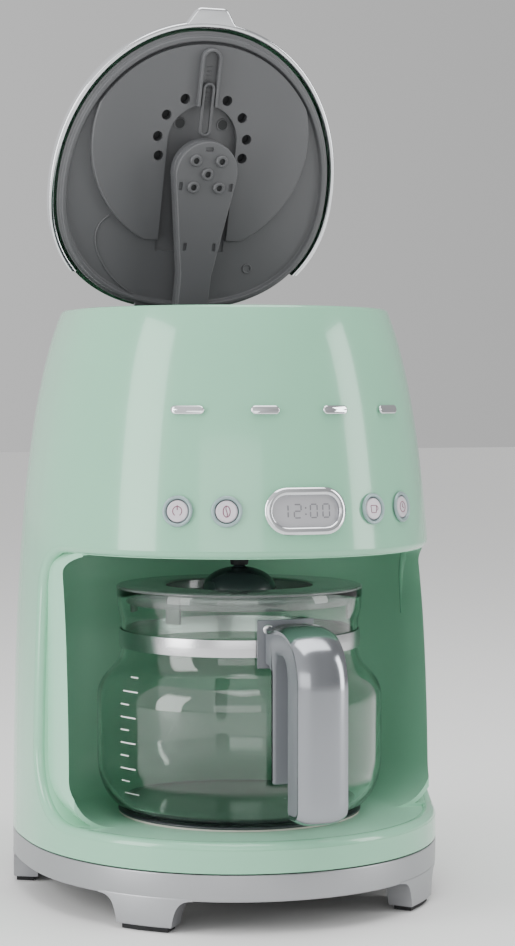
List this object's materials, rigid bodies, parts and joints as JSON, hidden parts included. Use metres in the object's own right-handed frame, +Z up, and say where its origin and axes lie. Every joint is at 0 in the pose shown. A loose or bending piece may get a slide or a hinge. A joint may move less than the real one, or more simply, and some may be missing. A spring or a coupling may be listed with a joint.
{
  "type": "drip coffee maker",
  "caption": "Retro drip filter coffee maker: tapered rounded body with a C-shaped bay, glass carafe on a warming plate, domed hinged lid with a spray arm, and a front control row.",
  "frame": {"origin": "on the resting surface, under the centre of the bounding box with the lid open and the carafe in the bay", "axes": "+Z up, the bay and controls face -Y, +X to the right seen from the front"},
  "size_m": [0.2432, 0.2764, 0.5262],
  "materials": {
    "body_green": "glossy pastel green enamel",
    "bay_green": "satin pastel green moulding",
    "base_silver": "satin silver paint",
    "chrome": "polished chrome plating",
    "steel": "brushed steel",
    "plate_coat": "dark non-stick coating",
    "lid_grey": "fine-grained grey plastic",
    "handle_grey": "satin light grey plastic",
    "basket_black": "matt black plastic",
    "dome_slate": "satin slate plastic",
    "rubber": "matt black rubber",
    "silicone": "translucent silicone",
    "glass": "clear borosilicate glass",
    "lid_smoke": "translucent grey plastic",
    "tank_clear": "translucent natural plastic",
    "display_satin": "satin silver tinted lens",
    "button_satin": "satin pale button",
    "collar_grey": "grey-green satin ring",
    "board_green": "solder-masked circuit board"
  },
  "bodies": {
    "housing": {"housing_shell": "body_green", "bay_liner": "bay_green", "base_ring": "base_silver", "base_pan": "basket_black", "foot_pad_front_right": "rubber", "foot_pad_front_left": "rubber", "foot_pad_rear_right": "rubber", "foot_pad_rear_left": "rubber", "base_screw_front_right": "steel", "base_screw_front_left": "steel", "base_screw_rear_right": "steel", "base_screw_rear_left": "steel", "cord_gland": "rubber", "warming_plate": "plate_coat", "plate_seal": "silicone", "heater": "steel", "thermostat": "handle_grey", "check_valve": "basket_black", "cold_hose": "silicone", "hot_hose": "silicone", "water_tank": "tank_clear", "top_deck": "lid_grey", "power_board": "board_green", "display_bezel": "chrome", "display_lens": "display_satin", "display_module": "basket_black", "control_board": "board_green", "button_collar_1": "collar_grey", "button_collar_2": "collar_grey", "button_collar_3": "collar_grey", "button_collar_4": "collar_grey", "badge_bar_1": "chrome", "badge_bar_2": "chrome", "badge_bar_3": "chrome", "badge_bar_4": "chrome", "hinge_cover": "body_green", "hinge_pin_left": "steel", "hinge_pin_right": "steel", "arm_bracket": "lid_grey"},
    "lid": {"lid_shell": "body_green", "lid_trim": "chrome", "lid_liner": "lid_grey"},
    "spray_arm": {"spray_arm_body": "lid_grey", "spray_arm_cover": "lid_grey"},
    "spray_link": {"spray_link": "lid_grey"},
    "button_1": {"button_cap_1": "button_satin"},
    "button_2": {"button_cap_2": "button_satin"},
    "button_3": {"button_cap_3": "button_satin"},
    "button_4": {"button_cap_4": "button_satin"},
    "carafe": {"carafe_glass": "glass", "carafe_band": "steel", "handle_bracket": "handle_grey", "handle_grip": "handle_grey", "handle_cover": "chrome"},
    "carafe_lid": {"carafe_lid": "lid_smoke", "carafe_lid_dome": "dome_slate"},
    "filter_holder": {"filter_holder": "basket_black"},
    "permanent_filter": {"permanent_filter": "handle_grey"},
    "drip_stop": {"drip_stop": "basket_black"}
  },
  "joints": [
    {"name": "lid_hinge", "type": "hinge", "parent": "housing", "child": "lid", "pos_m": [0, 0.09335, 0.342], "axis": [-1, 0, 0], "range_deg": [-72.5, 0]},
    {"name": "spray_arm_pivot", "type": "hinge", "parent": "housing", "child": "spray_arm", "pos_m": [0, 0.08575, 0.33], "axis": [-1, 0, 0], "range_deg": [-71.7, 0]},
    {"name": "spray_link_slide", "type": "slide", "parent": "lid", "child": "spray_link", "axis": [0, -0.3007, 0.9537], "range_m": [0, 0.01671]},
    {"name": "button_1_press", "type": "slide", "parent": "housing", "child": "button_1", "axis": [0.5955, 0.7993, -0.0803], "range_m": [0, 0.0012], "stiffness_N_per_m": 600, "springref_m": -0.0008},
    {"name": "button_2_press", "type": "slide", "parent": "housing", "child": "button_2", "axis": [0.3833, 0.92, -0.0814], "range_m": [0, 0.0012], "stiffness_N_per_m": 600, "springref_m": -0.0008},
    {"name": "button_3_press", "type": "slide", "parent": "housing", "child": "button_3", "axis": [-0.3833, 0.92, -0.0814], "range_m": [0, 0.0012], "stiffness_N_per_m": 600, "springref_m": -0.0008},
    {"name": "button_4_press", "type": "slide", "parent": "housing", "child": "button_4", "axis": [-0.5955, 0.7993, -0.0803], "range_m": [0, 0.0012], "stiffness_N_per_m": 600, "springref_m": -0.0008},
    {"name": "carafe_slide", "type": "slide", "parent": "housing", "child": "carafe", "axis": [0, -1, 0], "range_m": [0, 0.2]},
    {"name": "carafe_lid_twist", "type": "hinge", "parent": "carafe", "child": "carafe_lid", "pos_m": [0, -0.00815, 0.17], "axis": [0, 0, 1], "range_deg": [0, 30]},
    {"name": "filter_holder_lift", "type": "slide", "parent": "housing", "child": "filter_holder", "axis": [0, 0, 1], "range_m": [0, 0.045]},
    {"name": "permanent_filter_lift", "type": "slide", "parent": "filter_holder", "child": "permanent_filter", "axis": [0, 0, 1], "range_m": [0, 0.03]},
    {"name": "drip_stop_slide", "type": "slide", "parent": "filter_holder", "child": "drip_stop", "axis": [0, 0, -1], "range_m": [0, 0.003]}
  ],
  "couplings": [
    {"joint": "spray_arm_pivot", "follows": "lid_hinge", "ratio": 0.98759},
    {"joint": "spray_link_slide", "follows": "lid_hinge", "m_per_rad": -0.013198},
    {"joint": "drip_stop_slide", "follows": "carafe_slide", "ratio": 0.015}
  ]
}
